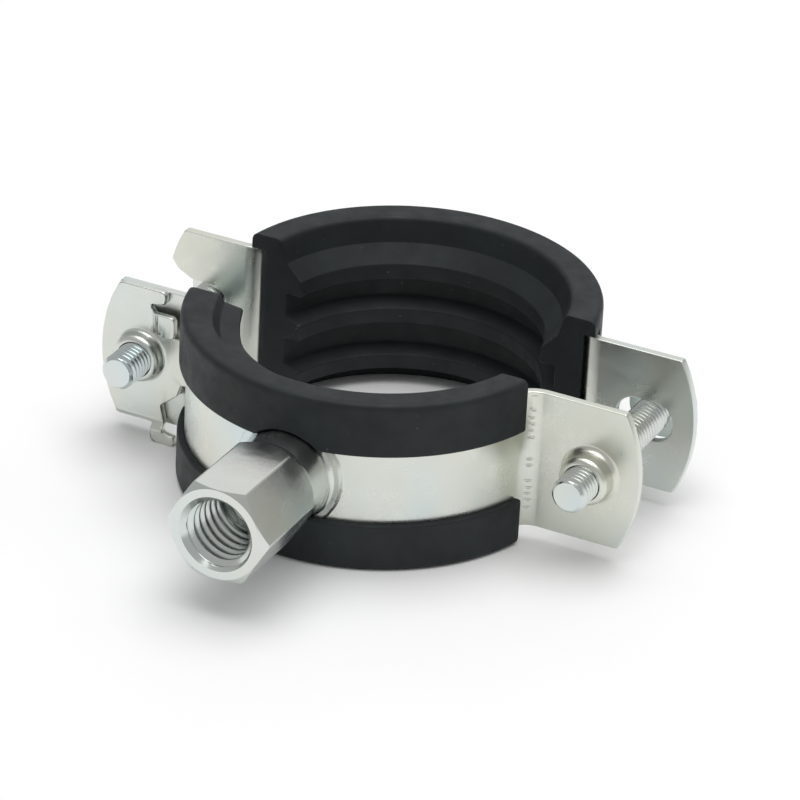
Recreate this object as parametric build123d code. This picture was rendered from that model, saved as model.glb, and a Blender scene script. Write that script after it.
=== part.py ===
"""Rubber lined pipe clamp: two-screw, two-part, with a quick-lock nut plate and a connecting nut.

Units are millimetres. The pipe axis is Z, the origin is the pipe axis of the front half at mid width,
and the connecting nut points along -Y. The back half stands half_opening behind the front half.
"""
import math
import os

from build123d import *

# steel strip, the same stock for both bands
strip_width = 20.0
strip_thickness = 1.2
band_radius = 25.3
bend_radius = 1.7
ear_face = 4.7
half_opening = 9.8

# screws, M5 pan head; a reach runs from the band to the screw, or from the ear face to the tip
screw_radius = 2.5
screw_length = 30.0
screw_tip_chamfer = 0.5
head_radius = 4.75
head_height = 3.6
head_crown = 1.2
drive_width = 1.2
drive_depth = 2.0
drive_cross = 5.4
right_screw_reach = 9.1
left_screw_reach = 7.3
right_tip_reach = 7.3
left_tip_reach = 7.8

# ears, measured outwards from their screw
right_ear_length = 4.5
left_ear_length = 3.9
ear_bow = 2.5
ear_corner_radius = 0.5
right_slot_reach = (4.5, 3.9)
swing_slot_reach = (4.8, 2.8)
slot_clearance = 0.4
mouth_clearance = 0.25
mouth_inner_reach = 3.0
funnel_runs = ((2.6, 0.0), (4.8, 1.15), (5.9, 2.55), (8.4, 2.55))

# drawn collars round the screws
thread_clearance = 0.06
collar_wall = 1.15
collar_height = 3.0
collar_rim_chamfer = 0.5
collar_root_chamfer = 0.4

# quick-lock nut plate, measured from the left screw and the strip edges
plate_thickness = 1.0
plate_left_length = 3.6
plate_bow = 2.5
plate_top_rise = 0.2
plate_bottom_drop = 0.3
plate_corner_radius = 1.2
plate_inner_top = 3.6
plate_inner_bottom = 2.3
plate_notch = 1.8
plate_notch_depth = 2.0
plate_nib = 0.7
upper_tab_z = (3.9, 7.2)
upper_tab_end = 5.5
lower_tab_end = 5.9
lower_tab_neck = 1.9
lower_tab_height = 1.4
joggle_run = 1.3
joggle_depth = 1.0
joggle_lap = 1.0
joggle_shift = 0.4
tab_stock = 9.0
tab_corner_radius = 0.7
tongue_z = (-3.2, 3.7)
tongue_inset = 0.2
tongue_root_run = (1.3, 3.9)
tongue_root_drop = (3.2, 2.4)
tongue_clearance = 0.4

# connecting nut, M10 at the mouth and M8 behind it
nut_across_flats = 13.0
nut_length = 19.9
nut_neck_length = 6.7
nut_neck_radius = 6.35
nut_chamfer = 0.55
rod_bore_radius = 4.25
rod_bore_depth = 10.0
inner_bore_radius = 3.4
inner_bore_depth = 7.0
bore_mouth_chamfer = 0.8
pad_radius = 7.5
pad_depth = 0.4
nut_notch_clearance = 0.15

# rubber lining: steps inwards from the band's bore, and heights from the strip's edges
lip_thickness = 1.0
lip_widths = (5.4, 4.5)
lip_ear_gap = 1.9
lining_end_gap = 0.1
crown_height = 2.3
crown_shoulder = (1.3, 1.6)
crown_step = 1.1
crown_slope = (1.2, 1.3)
recess_height = -0.8
web_step = 3.3
rib_step = 5.5
rib_slope = 0.2
ribs = ((8.0, 5.9, 3.6), (1.0, 0.0, -2.0), (-6.7, -7.7, -9.8))

bore_radius = band_radius - strip_thickness
lip_radius = band_radius + lip_thickness
half_width = strip_width / 2
lining_half_height = half_width + crown_height
ear_back = ear_face - strip_thickness
right_screw_x = band_radius + right_screw_reach
left_screw_x = -band_radius - left_screw_reach
right_ear_corner = right_screw_x + right_ear_length
left_ear_corner = -left_screw_x + left_ear_length
thread_bore = screw_radius + thread_clearance
collar_radius = screw_radius + collar_wall
collar_front_y = -ear_face - collar_height
plate_front_y = -ear_face - plate_thickness
tongue_tip = -bore_radius + tongue_inset
pad_face_y = -band_radius + pad_depth
nut_front_y = pad_face_y - nut_length
nut_hex_back_y = pad_face_y - nut_neck_length


def prism_y(sketch, y_from, y_to):
    """Extrude a sketch drawn as (x, z) along Y between two stations."""
    face = Plane(origin=(0, y_from, 0), x_dir=(1, 0, 0), z_dir=(0, -1, 0)) * sketch
    return extrude(face, amount=y_from - y_to)


def prism_z(sketch, z_from, z_to):
    """Extrude a sketch drawn as (x, y) along Z between two heights."""
    return extrude(Plane.XY.offset(z_from) * sketch, amount=z_to - z_from)


def rod_y(radius, x, y_from, y_to):
    """Round bar along Y centred on (x, z = 0)."""
    return prism_y(Pos(x, 0) * Circle(radius), max(y_from, y_to), min(y_from, y_to))


def circles(body):
    """Circular edges of a body, from the rearmost to the foremost."""
    return body.edges().filter_by(GeomType.CIRCLE).sort_by(Axis.Y, reverse=True)


def screw_slot(x, reach, half_height):
    """Oblong opening in (x, z) round a screw, its ends at the two reaches left and right of it."""
    left, right = x - reach[0], x + reach[1]
    return Pos((left + right) / 2, 0) * SlotOverall(right - left, 2 * half_height)


def bend_centre():
    """Centre of the bend where the ring turns out into the right ear."""
    middle_radius = band_radius - strip_thickness / 2
    bend = bend_radius + strip_thickness / 2
    y = -(ear_face - strip_thickness / 2 + bend)
    return math.sqrt((middle_radius + bend) ** 2 - y ** 2), y


def strip_path(radius, ear_y, bend):
    """One face of the strip seen along Z: ring arc, two bends and the two ear lines."""
    right_x, bend_y = bend_centre()
    reach = math.hypot(right_x, bend_y)
    touch = (right_x * radius / reach, bend_y * radius / reach)
    ring = ThreePointArc((-touch[0], touch[1]), (0, -radius), touch)
    middle = math.atan2(touch[1] - bend_y, touch[0] - right_x)
    half_turn = (middle + math.pi / 2) / 2
    mid = (right_x + bend * math.cos(half_turn), bend_y + bend * math.sin(half_turn))
    right_bend = ThreePointArc(touch, mid, (right_x, -ear_y))
    left_bend = ThreePointArc((-touch[0], touch[1]), (-mid[0], mid[1]), (-right_x, -ear_y))
    right_line = Line((right_x, -ear_y), (right_ear_corner + 2 * ear_bow, -ear_y))
    left_line = Line((-right_x, -ear_y), (-left_ear_corner - 2 * ear_bow, -ear_y))
    return ring, right_bend, left_bend, right_line, left_line


def strip_section():
    """The bent strip as a flat (x, y) face."""
    outer = strip_path(band_radius, ear_face, bend_radius)
    inner = strip_path(bore_radius, ear_back, bend_radius + strip_thickness)
    right_tip = Line(outer[3] @ 1, inner[3] @ 1)
    left_tip = Line(outer[4] @ 1, inner[4] @ 1)
    return make_face(Wire.combine([*outer, *inner, right_tip, left_tip])[0].edges())


def ear_outline():
    """Strip blank in (x, z): straight edges and bowed ends, with small corner radii."""
    right = ThreePointArc((right_ear_corner, -half_width), (right_ear_corner + ear_bow, 0),
                          (right_ear_corner, half_width))
    left = ThreePointArc((-left_ear_corner, half_width), (-left_ear_corner - ear_bow, 0),
                         (-left_ear_corner, -half_width))
    top = Line(right @ 1, left @ 0)
    bottom = Line(left @ 1, right @ 0)
    blank = make_face([right, top, left, bottom])
    return fillet(blank.vertices(), ear_corner_radius)


def bare_band():
    """Bent strip without holes, front half pose."""
    ring = prism_z(strip_section(), -half_width, half_width)
    return ring & prism_y(ear_outline(), 0, -2 * band_radius)


def with_collar(sheet, x, face_y):
    """Join a drawn collar to a sheet, chamfer its rim and root and bore it for the screw."""
    bar = rod_y(collar_radius, x, face_y + strip_thickness / 2, collar_front_y)
    bar = chamfer(circles(bar)[-1], collar_rim_chamfer)
    body = sheet + bar
    roots = [e for e in circles(body)
             if abs(e.arc_center.Y - face_y) < thread_clearance
             and abs(e.radius - collar_radius) < thread_clearance]
    body = chamfer(roots, collar_root_chamfer)
    return body - rod_y(thread_bore, x, 0, collar_front_y - collar_height)


def tongue_window():
    """Opening in the front band for the tongue of the lock plate."""
    left_x = -bend_centre()[0] - tongue_clearance / 2
    right_x = tongue_tip + strip_thickness
    front_y = plate_front_y - 2 * tongue_clearance
    back_y = -ear_face + tongue_clearance / 2
    low, high = tongue_z[0] - tongue_clearance, tongue_z[1] + tongue_clearance
    middle = ((left_x + right_x) / 2, (front_y + back_y) / 2, (low + high) / 2)
    return Pos(*middle) * Box(right_x - left_x, back_y - front_y, high - low)


def make_front_band():
    """Front band: ring, pad, right ear with threaded collar, left ear with swing slot and window."""
    band = bare_band()
    pad = rod_y(pad_radius, 0, -bore_radius + strip_thickness / 2, pad_face_y)
    band = band + (pad - prism_z(Circle(bore_radius), -half_width, half_width))
    band = with_collar(band, right_screw_x, -ear_face)
    slot = screw_slot(left_screw_x, swing_slot_reach, screw_radius + slot_clearance)
    return band - prism_y(slot, 0, -ear_face - strip_thickness) - tongue_window()


def to_back(body):
    """Turn a front half body into the back half pose."""
    return Pos(0, half_opening, 0) * mirror(body, about=Plane.XZ)


def mouth_outline():
    """Open funnel mouth round the left screw, in (x, z)."""
    half_height = screw_radius + mouth_clearance
    inner = left_screw_x + mouth_inner_reach - half_height
    upper = [(inner, half_height)]
    upper += [(left_screw_x - run, half_height + rise) for run, rise in funnel_runs]
    lower = [(x, -z) for x, z in reversed(upper)]
    return make_face(Polyline(*upper, *lower, close=True)) + Pos(inner, 0) * Circle(half_height)


def make_back_band():
    """Back band: oblong slot in the right ear, open funnel mouth in the left ear."""
    slot = screw_slot(right_screw_x, right_slot_reach, screw_radius + slot_clearance)
    openings = [slot, mouth_outline()]
    band = bare_band()
    for opening in openings:
        band = band - prism_y(opening, 0, -ear_face - strip_thickness)
    return to_back(band)


def lining_profile():
    """Lining section as a face in (radius, z), with the slot for the strip."""
    top = lining_half_height
    crown_radius = bore_radius - crown_step
    shoulder_radius = crown_radius - crown_slope[0]
    lip_run = lip_radius - crown_shoulder[0]
    web_radius = bore_radius - web_step
    rib_radius = bore_radius - rib_step
    points = [(bore_radius, half_width), (band_radius, half_width),
              (band_radius, half_width - lip_widths[0]), (lip_radius, half_width - lip_widths[0]),
              (lip_radius, top - crown_shoulder[1]), (lip_run, top), (crown_radius, top),
              (shoulder_radius, top - crown_slope[1]), (shoulder_radius, half_width + recess_height)]
    for rib_top, tip_top, rib_bottom in ribs:
        points += [(web_radius, rib_top), (rib_radius, tip_top),
                   (rib_radius, rib_bottom + rib_slope), (web_radius, rib_bottom)]
    points += [(shoulder_radius, -top + crown_slope[1]), (crown_radius, -top), (lip_run, -top),
               (lip_radius, -top + crown_shoulder[1]), (lip_radius, -half_width + lip_widths[1]),
               (band_radius, -half_width + lip_widths[1]), (band_radius, -half_width),
               (bore_radius, -half_width)]
    return make_face(Polyline(*points, close=True))


def bare_lining():
    """Lining of the front half before the nut notch."""
    ring = revolve(Plane.XZ * lining_profile(), Axis.Z, 360)
    reach = 2 * band_radius
    keep = Pos(0, -ear_back - lining_end_gap - reach / 2, 0) * Box(2 * reach, reach, 2 * reach)
    lip_start = ear_face + lip_ear_gap
    ends = Pos(0, -lip_start / 2, 0) * Box(2 * reach, lip_start, strip_width)
    return (ring & keep) - (ends - prism_z(Circle(bore_radius), -half_width, half_width))


def make_front_lining():
    """Front lining, its lips notched around the neck and the pad of the connecting nut."""
    lip_front = -lip_radius - lip_thickness
    notch = rod_y(nut_neck_radius + nut_notch_clearance, 0, -bore_radius, lip_front)
    notch = notch + rod_y(pad_radius, 0, -bore_radius, pad_face_y)
    return bare_lining() - (notch - prism_z(Circle(band_radius), -half_width, half_width))


def make_connecting_nut(band):
    """Connecting nut: hexagon with chamfered ends, round neck seated on the band, stepped bore."""
    hexagon = RegularPolygon(nut_across_flats / 2, 6, major_radius=False, rotation=0)
    body = prism_y(hexagon, nut_hex_back_y, nut_front_y)
    turned = rod_y(nut_across_flats / math.sqrt(3), 0, nut_hex_back_y, nut_front_y)
    body = body & chamfer(circles(turned), nut_chamfer, 2 * nut_chamfer)
    body = body + rod_y(nut_neck_radius, 0, pad_face_y, nut_hex_back_y)
    inner_start = nut_front_y + rod_bore_depth
    body = body - rod_y(rod_bore_radius, 0, inner_start, nut_front_y)
    body = body - rod_y(inner_bore_radius, 0, inner_start + inner_bore_depth, nut_front_y)
    mouth = [e for e in circles(body)
             if abs(e.radius - rod_bore_radius) < thread_clearance
             and abs(e.arc_center.Y - nut_front_y) < nut_chamfer]
    return chamfer(mouth, bore_mouth_chamfer) - band


def plate_outline():
    """Flat part of the lock plate in (x, z): bowed left end, notches and central tongue."""
    low, high = tongue_z
    top = half_width + plate_top_rise
    bottom = -half_width + plate_bottom_drop
    left_x = left_screw_x - plate_left_length
    inner_x = left_screw_x + plate_inner_bottom
    notch_x = left_screw_x + plate_notch
    nib_x = left_screw_x + plate_inner_top
    left = ThreePointArc((left_x, top), (left_x - plate_bow, 0), (left_x, bottom))
    root_x = inner_x + tongue_root_run[0]
    run = Polyline(left @ 1, (inner_x, bottom), (root_x, low - tongue_root_drop[0]),
                   (root_x, low - tongue_root_drop[1]), (inner_x + tongue_root_run[1], low),
                   (tongue_tip, low), (tongue_tip, high), (notch_x, high),
                   (notch_x, top - plate_notch_depth), (nib_x, top - plate_nib), (nib_x, top),
                   left @ 0)
    face = make_face([left, *run.edges()])
    outer = [v for v in face.vertices() if v.X < left_x + plate_corner_radius]
    return fillet(outer, plate_corner_radius)


def joggle_section():
    """Sheet edge of a tab, as (run, y): plate plane, slope, then forward by the joggle depth."""
    back, front = -ear_face, plate_front_y
    return [(-joggle_lap, back), (0, back), (joggle_run, back - joggle_depth),
            (tab_stock, back - joggle_depth), (tab_stock, front - joggle_depth),
            (joggle_run - joggle_shift, front - joggle_depth), (-joggle_shift, front),
            (-joggle_lap, front)]


def upper_tab():
    """Upper tab, stepped forward to the right of the notch."""
    start = left_screw_x + plate_notch
    end = left_screw_x + upper_tab_end
    section = make_face(Polyline(*[(start + u, y) for u, y in joggle_section()], close=True))
    bar = prism_z(section, *upper_tab_z)
    width = end - start + joggle_lap
    height = upper_tab_z[1] - upper_tab_z[0]
    blank = Pos(end - width / 2, sum(upper_tab_z) / 2) * Rectangle(width, height)
    corners = blank.vertices().sort_by(Axis.X)[-2:]
    return bar & prism_y(fillet(corners, tab_corner_radius), 0, -2 * ear_face)


def lower_tab():
    """Lower thumb tab, stepped forward below the plate edge and widened to the right."""
    start = -half_width + plate_bottom_drop + joggle_shift / 2
    left_x = left_screw_x + plate_inner_bottom
    right_x = left_screw_x + lower_tab_end
    neck_x = left_x + lower_tab_neck
    bottom = -lining_half_height
    points = [Vector(0, y, start - u) for u, y in joggle_section()]
    section = make_face(Polyline(*points, close=True))
    bar = extrude(Pos(left_x, 0, 0) * section, amount=right_x - left_x, dir=(1, 0, 0))
    shape = Polyline((left_x, start + joggle_lap), (left_x, bottom), (right_x, bottom),
                     (right_x, bottom + lower_tab_height), (neck_x, bottom + lower_tab_height),
                     (neck_x, start + joggle_lap), close=True)
    corners = make_face(shape).vertices().sort_by(Axis.Y)[:2]
    return bar & prism_y(fillet(corners, tab_corner_radius), 0, -2 * ear_face)


def make_lock_plate():
    """Quick-lock nut plate: flat plate, two stepped tabs, tongue and threaded collar."""
    plate = prism_y(plate_outline(), -ear_face, plate_front_y)
    return with_collar(plate, left_screw_x, plate_front_y) + upper_tab() + lower_tab()


def make_screw(x, tip_reach):
    """Pan head screw along Y, its chamfered tip tip_reach in front of the ear, slot and cross drive."""
    tip_y = -ear_face - tip_reach
    seat_y = tip_y + screw_length
    top_y = seat_y + head_height
    shank = rod_y(screw_radius, x, seat_y, tip_y)
    shank = chamfer(circles(shank)[-1], screw_tip_chamfer)
    head = rod_y(head_radius, x, top_y, seat_y)
    head = chamfer(circles(head)[0], head_crown)
    slot = Rectangle(2 * head_radius, drive_width) + Rectangle(drive_width, drive_cross)
    return shank + head - prism_y(Pos(x, 0) * slot, top_y + head_height, top_y - drive_depth)


def main():
    """Build every piece and write one STEP file each."""
    os.makedirs("parts", exist_ok=True)
    front_band = make_front_band()
    pieces = {
        "front_band": front_band,
        "back_band": make_back_band(),
        "front_lining": make_front_lining(),
        "back_lining": to_back(bare_lining()),
        "connecting_nut": make_connecting_nut(front_band),
        "lock_plate": make_lock_plate(),
        "right_screw": make_screw(right_screw_x, right_tip_reach),
        "left_screw": make_screw(left_screw_x, left_tip_reach),
    }
    for name, body in pieces.items():
        export_step(body, os.path.join("parts", name + ".step"))


if __name__ == "__main__":
    main()
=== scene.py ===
"""Looks of a rubber lined pipe clamp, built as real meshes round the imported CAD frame.

Meshes are worked out in millimetres in the frame's own axes: the pipe axis is Z, the connecting
nut points along -Y, and the origin is the pipe axis of the front half. They become metres when an
object is made.
"""
import math

import bmesh
import bpy
from mathutils import Matrix, Vector


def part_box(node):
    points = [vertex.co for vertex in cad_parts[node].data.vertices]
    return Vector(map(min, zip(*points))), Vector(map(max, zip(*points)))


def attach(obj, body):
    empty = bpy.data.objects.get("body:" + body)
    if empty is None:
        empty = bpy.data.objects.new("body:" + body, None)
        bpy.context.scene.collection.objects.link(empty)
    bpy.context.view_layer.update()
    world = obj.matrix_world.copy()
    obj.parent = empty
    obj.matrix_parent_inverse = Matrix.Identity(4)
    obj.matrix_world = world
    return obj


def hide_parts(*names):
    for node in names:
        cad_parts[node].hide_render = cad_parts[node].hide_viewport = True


bl_info = {
    "name": "Rubber Lined Pipe Clamp",
    "version": (1, 0, 0),
    "blender": (4, 5, 0),
    "location": "3D View > Sidebar > Pipe Clamp",
    "description": "Builds the bands, linings, nut, lock plate and screws of a pipe clamp",
    "category": "Add Mesh",
}

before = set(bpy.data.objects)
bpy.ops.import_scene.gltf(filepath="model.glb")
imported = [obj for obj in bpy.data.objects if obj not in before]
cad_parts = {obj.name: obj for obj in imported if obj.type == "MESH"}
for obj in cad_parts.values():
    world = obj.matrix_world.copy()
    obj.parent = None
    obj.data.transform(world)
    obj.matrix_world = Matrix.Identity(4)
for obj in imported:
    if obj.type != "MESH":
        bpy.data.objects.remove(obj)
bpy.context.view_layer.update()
MM = 0.001
WELD = 0.002
ON_RING = 10 * WELD


def box_mm(node):
    """Lowest and highest corner of a CAD node in millimetres."""
    low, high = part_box(node)
    return low / MM, high / MM


BAND_LOW, BAND_HIGH = box_mm("front_band")
LINING_LOW, LINING_HIGH = box_mm("front_lining")
BACK_HIGH = box_mm("back_band")[1]
NUT_FRONT_Y = box_mm("connecting_nut")[0].y
RIGHT_LOW, RIGHT_HIGH = box_mm("right_screw")
LEFT_LOW, LEFT_HIGH = box_mm("left_screw")

HALF_WIDTH = BAND_HIGH.z
BAND_RADIUS = -BAND_LOW.y
HALF_OPENING = BACK_HIGH.y - BAND_RADIUS
RIGHT_SCREW_X = (RIGHT_LOW.x + RIGHT_HIGH.x) / 2
LEFT_SCREW_X = (LEFT_LOW.x + LEFT_HIGH.x) / 2

# mesh steps
COLLAR_STEPS = 72
SCREW_STEPS = 48
BOW_STEPS = 40
RING_STEPS = 38
BEND_STEPS = 10
EDGE_STEPS = 3
FILLET_STEPS = 6
FUNNEL_STEPS = 5
FLANK_STEPS = 6
THREAD_LANES = 12
SWEEP_STEPS = 34
FINE_SWEEP = (30, 150)

# corners of an outline
STRAIGHT_ANGLE = math.radians(177)
CORNER_SHARE = 0.49
LEAST_INSET = 0.4

# strip and ears
STRIP_THICKNESS = 1.2
EAR_FACE = 4.7
BEND_RADIUS = 2.8
RIGHT_EAR_CORNER = 38.9
LEFT_EAR_CORNER = 36.5
EAR_BOW = 2.49
EAR_CORNER_RADIUS = 0.6
CORNER_REACH = 2.2 * EAR_CORNER_RADIUS
SLOT_HALF_HEIGHT = 2.9
RIGHT_SLOT_ENDS = (29.9, 38.3)
SWING_SLOT_ENDS = (-37.4, -29.8)
MOUTH_HALF_HEIGHT = 2.75
MOUTH_INNER_END = -29.6
MOUTH_FUNNEL = ((-35.2, 2.75), (-37.4, 3.9), (-38.35, 5.25))
MOUTH_ROUNDING = (0.5, 1.2, 1.2)
MOUTH_MARGIN = 0.25
WINDOW_Z = (-3.6, 4.1)
WINDOW_NECK = 0.65
WINDOW_LEAD = 0.2
WINDOW_ROUNDING = 0.5

# drawn collars
COLLAR_RADIUS = 3.45
COLLAR_FRONT_Y = -7.7
COLLAR_ROOT_FILLET = 0.9
COLLAR_RIM_FILLET = 0.8
COLLAR_MOUTH = (0.12, 0.02)
COLLAR_THREAD_START = 0.14
COLLAR_THREAD_DEPTH = 0.32
COLLAR_THREAD_FADE = 0.4
COLLAR_FUNNEL = 0.5
PLATE_ROOT_FILLET = 0.6
THREAD_CLEARANCE = 0.06

# bite marks of the bending die at the right ear
DIE_MARK_PLACE = 2.7
DIE_MARK_PITCH = 1.05
DIE_MARK_HALF = (0.55, 0.2)
DIE_MARK_DEPTH = 0.12
DIE_MARK_SWAY = 0.12
DIE_MARK_SKIPPED = (-8, -2, 1, 2, 8)
DIE_PATCH_HALF = 0.75
DIE_PATCH_Z = (-8.4, 8.0)
DIE_PATCH_GRID = (0.25, 0.1)

# round pad under the connecting nut
PAD_RADIUS = 7.5
PAD_FACE_Y = -24.9
PAD_BLEND = 0.35
PAD_RADII = [PAD_RADIUS + 0.55 - 0.1 * i for i in range(8)] + [5.5, 3.5]

# lock plate
PLATE_THICKNESS = 1.0
PLATE_FRONT_Y = -EAR_FACE - PLATE_THICKNESS
PLATE_LEFT_CORNER = 36.2
PLATE_CORNER_RADIUS = 1.2
PLATE_BOW = 2.5
PLATE_TOP = 10.2
PLATE_BOTTOM = -9.7
UPPER_TAB_Z = (3.9, 7.2)
TONGUE_Z = (-3.2, 3.7)
SLIT_END_X = -30.0
TAB_LEAD = 1.25
TAB_MARGIN = 0.3
JOGGLE_RUN = 1.3
JOGGLE_DEPTH = 1.0
LOWER_JOGGLE_Z = PLATE_BOTTOM + 0.5
LOWER_FOLD_Z = PLATE_BOTTOM + 0.6
FOLD_PITCH = 0.15
# lower tab, tongue, slit, upper tab and notch, as (x, z, rounding)
PLATE_RUN = (
    (-30.4, PLATE_BOTTOM, 0.3), (-30.4, -12.3, 1.3), (-26.7, -12.3, 1.0), (-26.7, -10.9, 0.5),
    (-28.5, -10.6, 0.4), (-28.9, -9.0, 0.5), (-29.3, -6.9, 0.6), (-26.9, -5.0, 0.6),
    (-26.3, TONGUE_Z[0], 0.4), (-23.9, TONGUE_Z[0], 0.4), (-23.9, TONGUE_Z[1], 0.4),
    (SLIT_END_X, TONGUE_Z[1], 0.08), (SLIT_END_X, UPPER_TAB_Z[0], 0.08),
    (-27.1, UPPER_TAB_Z[0], 0.8), (-27.1, UPPER_TAB_Z[1], 0.8), (-31.1, UPPER_TAB_Z[1], 0.35),
    (-31.3, 7.9, 0.35), (-29.1, 8.3, 0.6), (-28.9, PLATE_TOP, 0.9))

# connecting nut
NUT_HEX_BACK_Y = -30.0
NUT_NECK_RADIUS = 6.35
NUT_NECK_STEP = 0.03
NUT_NECK_FILLET = 0.35
NUT_FOOT = ((0.0, 0.9), (0.07, 0.5), (0.25, 0.2), (0.5, 0.01))
NUT_CORNER_BREAK = 0.09
NUT_CHAMFER = 0.55
NUT_CHAMFER_SLOPE = 0.75
NUT_BACK_CHAMFER = 1.7
NUT_MOUTH_GROWTH = 0.28
NUT_MOUTH_SLOPE = 0.9
ROD_THREAD_DEPTH = 10.0
MINOR_SHARE = 0.5413
INNER_THREAD_DEPTH = 7.0
INNER_THREAD_RADII = (3.4, 4.0)
INNER_THREAD_PITCH = 1.25
DRILL_POINT = ((3.4, 0.0), (1.7, 0.9), (0.15, 1.6))

# lining lips and ends
LIP_REACH = (4.6, -5.5)
LIP_ROUNDING = (0.2, 0.45)
LIP_END_Y = 6.6
LINING_END_Y = 3.6
FRONT_LINING_END_Y = 5.6
LINING_END_STEP = 0.5
END_BREAK = (0.04, 0.14)
END_SWELL = (-0.9, 1.3)
END_SWELL_SHARE = 0.62
SWELL_DEPTH = 2
SWELL_Z = (8, 11)
WEB_FLARE_X = 24.35
WEB_FLARE_GAP = 0.12
FLARED_RADII = (WEB_FLARE_X - 1, BAND_RADIUS - 0.5)
NOTCH_GAP = 0.15
NOTCH_DEPTH = 0.4
PAD_GAP = 0.02
CROWN_ROUNDING = 2.2

# inner outline of the linings from top to bottom, as (radius, z, rounding)
WEB_RADIUS = 20.8
RIB_RADIUS = 18.6
LINING_EDGE_Z = 12.3
BACK_RUN = ((21.9, LINING_EDGE_Z, 0.9), (WEB_RADIUS + 0.05, 8.9, 0.35),
            (RIB_RADIUS, 6.5, 0.4), (RIB_RADIUS, 4.2, 0.3), (WEB_RADIUS, 4.4, 0.35),
            (WEB_RADIUS, 1.0, 0.4), (RIB_RADIUS, -0.4, 0.4), (RIB_RADIUS, -2.6, 0.3),
            (WEB_RADIUS, -2.5, 0.35), (WEB_RADIUS, -6.4, 0.4), (RIB_RADIUS, -7.6, 0.4),
            (RIB_RADIUS, -9.7, 0.3), (WEB_RADIUS, -9.9, 0.35), (21.6, -LINING_EDGE_Z, 0.7))
FRONT_TOP = ((22.5, LINING_EDGE_Z, 0.5), (21.3, 10.0, 0.4), (RIB_RADIUS, 9.7, 0.4))
FRONT_RUN = FRONT_TOP + tuple((r, -z, rounding) for r, z, rounding in BACK_RUN[10::-1])

# screws, M5 pan head; tip face as (radius, lift), crown as (radius, drop)
SCREW_RADIUS = 2.5
SCREW_CREST_RADIUS = SCREW_RADIUS - 0.01
SCREW_ROOT_RADIUS = 2.02
SCREW_PITCH = 0.8
SCREW_RUN_OUT = 0.2
TIP_RADIUS = SCREW_ROOT_RADIUS - 0.03
TIP_FACE = ((0.02, 0.03), (0.6, 0.03), (1.5, 0.015))
HEAD_RADIUS = 4.75
HEAD_HEIGHT = 3.6
HEAD_CROWN = ((0.25, 0.0), (1.5, 0.03), (2.4, 0.13), (3.2, 0.36), (3.9, 0.75), (4.35, 1.2),
              (4.62, 1.7), (HEAD_RADIUS, 2.3), (HEAD_RADIUS, 3.15), (4.66, 3.45),
              (4.4, HEAD_HEIGHT))
CROSS_REACH = 2.7
CROSS_DRAFT = 0.35 * 4
SLOT_DRAFT = 0.08
CUTTER_EXCESS = 1

# looks: (roughness, share of the tint, stretch of the grain) of each zinc finish
ZINC_LOOKS = {
    "zinc_bands": (0.30, 0.55, (1, 1, 0.12)),
    "zinc_nut": (0.24, 0.35, (1, 0.15, 1)),
    "zinc_plate": (0.30, 1.0, (1, 1, 0.12)),
    "zinc_screw": (0.22, 0.3, (1, 1, 1)),
}
DUST = (0.28, 0.28, 0.27, 1)
# angles in degrees above which an edge stays sharp
SHEET_SHARP, RUBBER_SHARP, NUT_SHARP, SCREW_SHARP = 40, 50, 28, 35

# stage, in metres and watts: (name, place, width, height, power) of each soft box
LIGHTS = (("top_light", (0.05, 0.05, 0.9), 0.9, 0.9, 6.2),
          ("back_light", (-0.4, 0.9, 0.6), 1.1, 0.6, 0.9))
WORLD_STRENGTH = 0.48
FLOOR_HALF = 3.0


# ------------------------ settings

class BandSettings(bpy.types.PropertyGroup):
    """Sizes of the two bent steel bands."""
    thickness: bpy.props.FloatProperty(
        name="Strip Thickness", description="Thickness of the steel strip",
        default=STRIP_THICKNESS * MM, min=0.5 * MM, unit="LENGTH")
    edge: bpy.props.FloatProperty(
        name="Edge Rounding", description="Rounding of the sheared strip edges",
        default=0.16 * MM, min=0.02 * MM, unit="LENGTH")


class LiningSettings(bpy.types.PropertyGroup):
    """Sizes of the two rubber linings."""
    lip: bpy.props.FloatProperty(
        name="Lip Thickness", description="Thickness of the lips that hold the strip",
        default=1.0 * MM, min=0.3 * MM, unit="LENGTH")


class NutSettings(bpy.types.PropertyGroup):
    """Sizes of the connecting nut."""
    across_flats: bpy.props.FloatProperty(
        name="Across Flats", description="Width of the hexagon",
        default=13.0 * MM, min=8.0 * MM, unit="LENGTH")
    thread: bpy.props.FloatProperty(
        name="Rod Thread", description="Diameter of the rod thread at the mouth",
        default=10.0 * MM, min=5.0 * MM, unit="LENGTH")
    pitch: bpy.props.FloatProperty(
        name="Rod Thread Pitch", description="Pitch of the rod thread at the mouth",
        default=1.5 * MM, min=0.5 * MM, unit="LENGTH")


class ScrewSettings(bpy.types.PropertyGroup):
    """Sizes of the two clamp screws."""
    slot_width: bpy.props.FloatProperty(
        name="Slot Width", description="Width of the driver slot",
        default=1.2 * MM, min=0.5 * MM, unit="LENGTH")
    slot_depth: bpy.props.FloatProperty(
        name="Slot Depth", description="Depth of the driver slot",
        default=2.0 * MM, min=0.5 * MM, unit="LENGTH")


class FinishSettings(bpy.types.PropertyGroup):
    """Colours of the plated steel and the rubber."""
    zinc: bpy.props.FloatVectorProperty(
        name="Zinc", description="Colour of the zinc plating",
        subtype="COLOR", size=3, default=(0.665, 0.72, 0.72), min=0.0, max=1.0)
    zinc_tint: bpy.props.FloatVectorProperty(
        name="Passivation Tint", description="Yellow-green cast of the passivated plating",
        subtype="COLOR", size=3, default=(0.73, 0.715, 0.575), min=0.0, max=1.0)
    rubber: bpy.props.FloatVectorProperty(
        name="Rubber", description="Colour of the lining rubber",
        subtype="COLOR", size=3, default=(0.0095, 0.0125, 0.0135), min=0.0, max=1.0)


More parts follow.
